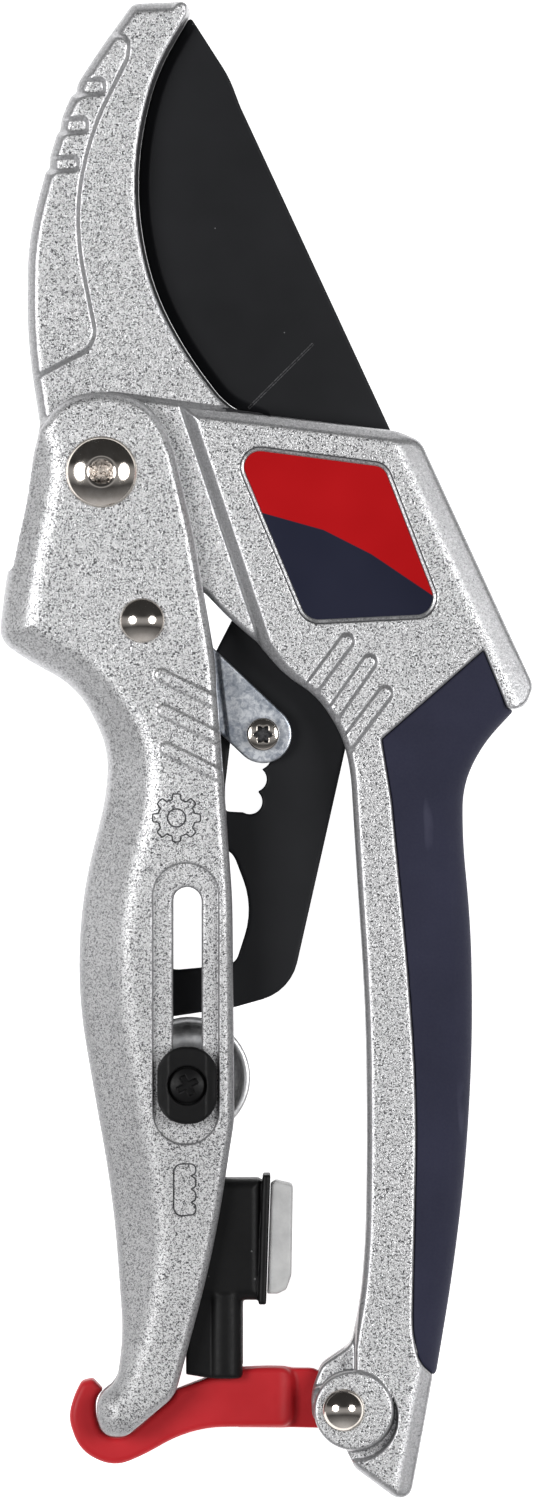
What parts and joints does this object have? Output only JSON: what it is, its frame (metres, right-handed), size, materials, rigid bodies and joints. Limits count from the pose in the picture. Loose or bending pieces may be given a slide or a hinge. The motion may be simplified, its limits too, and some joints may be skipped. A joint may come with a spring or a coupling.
{
  "type": "anvil pruner",
  "caption": "Ratchet anvil pruner, closed and latched: slotted cast jaw and handle, pivoting blade with notched tang, moving channel handle, pawl link, mode slider and latch hook.",
  "frame": {"origin": "centre of the bounding box, in the plane that the rear heads of the three rivets rest on", "axes": "+Y from the tail of the handles to the tip of the jaw, +X from the moving handle to the fixed one, +Z out of the front face, up from the resting plane"},
  "size_m": [0.0746, 0.2096, 0.0234],
  "materials": {
    "cast_silver": "silver sparkle paint on a die casting",
    "black_steel": "satin black non-stick coating",
    "zinc": "zinc plated",
    "nickel": "polished nickel",
    "dark_steel": "oiled spring steel",
    "bronze": "sintered bronze",
    "grip_rubber": "matte navy soft grip",
    "label_sheet": "red and navy label",
    "red_paint": "satin red",
    "black_plastic": "satin black",
    "pale_plastic": "milky, soft"
  },
  "bodies": {
    "frame": {"anvil_frame": "cast_silver", "grip": "grip_rubber", "label": "label_sheet", "pivot_bolt": "zinc", "pivot_nut": "zinc", "main_bush": "bronze", "opening_spring": "dark_steel", "latch_rivet": "nickel"},
    "blade": {"blade": "black_steel"},
    "handle": {"moving_handle": "cast_silver", "main_rivet": "nickel", "main_nut": "zinc", "link_rivet": "nickel", "pawl_spring": "dark_steel", "bumper_holder": "black_plastic", "bumper_pad": "pale_plastic"},
    "link": {"link_front": "zinc", "link_rear": "zinc", "link_screw": "nickel", "pin_sleeve": "dark_steel", "link_nut": "zinc"},
    "selector": {"slider_button": "black_plastic", "slider_screw": "dark_steel", "slider_disc": "zinc", "slider_washer": "dark_steel"},
    "latch": {"latch": "red_paint"}
  },
  "joints": [
    {"name": "handle_pivot", "type": "hinge", "parent": "frame", "child": "handle", "pos_m": [-0.02297, 0.03881, 0.0115], "axis": [0, 0, -1], "range_deg": [0, 26]},
    {"name": "blade_pivot", "type": "hinge", "parent": "frame", "child": "blade", "pos_m": [0.00893, 0.03001, 0.0115], "axis": [0, 0, -1], "range_deg": [0, 14.3]},
    {"name": "link_pivot", "type": "hinge", "parent": "handle", "child": "link", "pos_m": [-0.01727, 0.01801, 0.0115], "axis": [0, 0, 1], "range_deg": [0, 37.96]},
    {"name": "slider_travel", "type": "slide", "parent": "handle", "child": "selector", "axis": [0, 1, 0], "range_m": [0, 0.0235]},
    {"name": "latch_pivot", "type": "hinge", "parent": "frame", "child": "latch", "pos_m": [0.01093, -0.09249, 0.0115], "axis": [0, 0, 1], "range_deg": [0, 65]}
  ],
  "couplings": [
    {"joint": "blade_pivot", "follows": "handle_pivot", "ratio": 0.55},
    {"joint": "link_pivot", "follows": "handle_pivot", "ratio": 1.46},
    {"joint": "latch_pivot", "follows": "handle_pivot", "ratio": 2.5}
  ]
}
